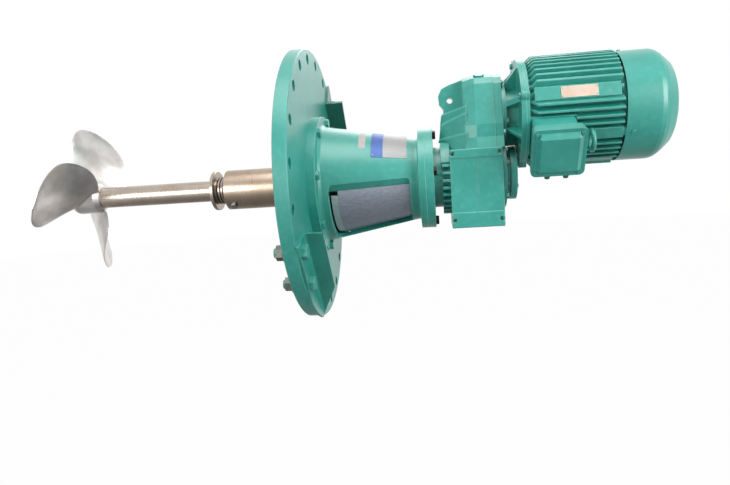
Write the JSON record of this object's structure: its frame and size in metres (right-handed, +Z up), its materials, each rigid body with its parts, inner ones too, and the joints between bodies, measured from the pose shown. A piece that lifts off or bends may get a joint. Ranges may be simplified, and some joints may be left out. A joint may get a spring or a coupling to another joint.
{
  "type": "side-entry tank mixer",
  "caption": "Side-entry mixer: a ship-type propeller on a shaft that passes a shut-off sleeve and tank flange, driven through a lantern and gearbox by a finned electric motor.",
  "frame": {"origin": "centre of the tank flange's tank-side face, on the mixer shaft's axis", "axes": "+X along the mixer shaft from the tank towards the motor, +Z up, with the motor above the shaft; the terminal box is on the -Y side"},
  "size_m": [1.539, 0.67, 0.6699],
  "materials": {
    "turquoise_paint": "satin",
    "painted_eye": "satin",
    "stainless_tube": "turned",
    "stainless_shaft": "ground",
    "stainless_machined": "turned",
    "stainless_cast": "hand ground",
    "guard_steel": "smooth rolled",
    "zinc_steel": "zinc plated",
    "black_steel": "black oxide",
    "plate_aluminium": "satin, blank",
    "seal_carbide": "lapped",
    "seal_rubber": "moulded",
    "bush_plastic": "turned",
    "breather_plastic": "moulded",
    "bearing_steel": "ground",
    "gear_steel": "machined",
    "lamination_steel": "stacked sheet",
    "copper_coil": "varnished copper",
    "rotor_aluminium": "turned",
    "fan_plastic": "moulded",
    "block_plastic": "moulded",
    "gland_plastic": "moulded"
  },
  "bodies": {
    "base": {"shutoff_sleeve": "stainless_tube", "sleeve_screw": "zinc_steel", "sleeve_bush": "bush_plastic", "mounting_flange": "turquoise_paint", "lower_angle_iron": "turquoise_paint", "upper_angle_iron": "turquoise_paint", "angle_iron_bolts": "zinc_steel", "angle_iron_nuts": "zinc_steel", "lantern": "turquoise_paint", "guard_sheets": "guard_steel", "guard_rivets": "zinc_steel", "lantern_bolts": "zinc_steel", "lantern_nameplate": "plate_aluminium", "seal_housing": "stainless_machined", "seal_seat": "seal_carbide", "seal_housing_screws": "zinc_steel", "output_flange": "turquoise_paint", "output_flange_bolts": "black_steel", "gearbox_housing": "turquoise_paint", "breather_plug": "breather_plastic", "gearbox_cover": "turquoise_paint", "output_end_cap": "turquoise_paint", "end_cap_screws": "zinc_steel", "oil_seals": "seal_rubber", "bearing_outer_rings": "bearing_steel", "bearing_balls": "bearing_steel", "motor_adaptor": "turquoise_paint", "gearbox_screws": "zinc_steel", "drive_end_shield": "turquoise_paint", "motor_flange_screws": "zinc_steel", "stator_frame": "turquoise_paint", "stator_core": "lamination_steel", "stator_windings": "copper_coil", "fan_end_shield": "turquoise_paint", "fan_cowl": "turquoise_paint", "terminal_box": "turquoise_paint", "terminal_box_cover": "turquoise_paint", "motor_small_screws": "zinc_steel", "terminal_block": "block_plastic", "cable_glands": "gland_plastic", "eye_bolt": "painted_eye", "motor_nameplate": "plate_aluminium"},
    "drive": {"hollow_shaft": "gear_steel", "output_gear": "gear_steel", "output_bearing_inners": "bearing_steel"},
    "mixer": {"mixer_shaft": "stainless_shaft", "drive_key": "gear_steel", "shutoff_plug": "stainless_machined", "plug_orings": "seal_rubber", "propeller": "stainless_cast", "propeller_nut": "stainless_machined", "seal_rotor": "stainless_machined"},
    "countershaft": {"intermediate_shaft": "gear_steel", "intermediate_gear": "gear_steel", "intermediate_bearing_inners": "bearing_steel"},
    "motor": {"motor_shaft": "gear_steel", "motor_pinion": "gear_steel", "rotor_core": "rotor_aluminium", "cooling_fan": "fan_plastic", "motor_bearing_inners": "bearing_steel"}
  },
  "joints": [
    {"name": "output_spin", "type": "hinge", "parent": "base", "child": "drive", "pos_m": [0.4, 0, 0], "axis": [1, 0, 0], "continuous": true},
    {"name": "shutoff_slide", "type": "slide", "parent": "drive", "child": "mixer", "axis": [1, 0, 0], "range_m": [0, 0.0277]},
    {"name": "intermediate_spin", "type": "hinge", "parent": "base", "child": "countershaft", "pos_m": [0.4, 0, 0.09], "axis": [1, 0, 0], "continuous": true},
    {"name": "motor_spin", "type": "hinge", "parent": "base", "child": "motor", "pos_m": [0.6, 0, 0.142], "axis": [1, 0, 0], "continuous": true}
  ],
  "couplings": [
    {"joint": "intermediate_spin", "follows": "output_spin", "ratio": -2.75},
    {"joint": "motor_spin", "follows": "output_spin", "ratio": 5.1944}
  ]
}
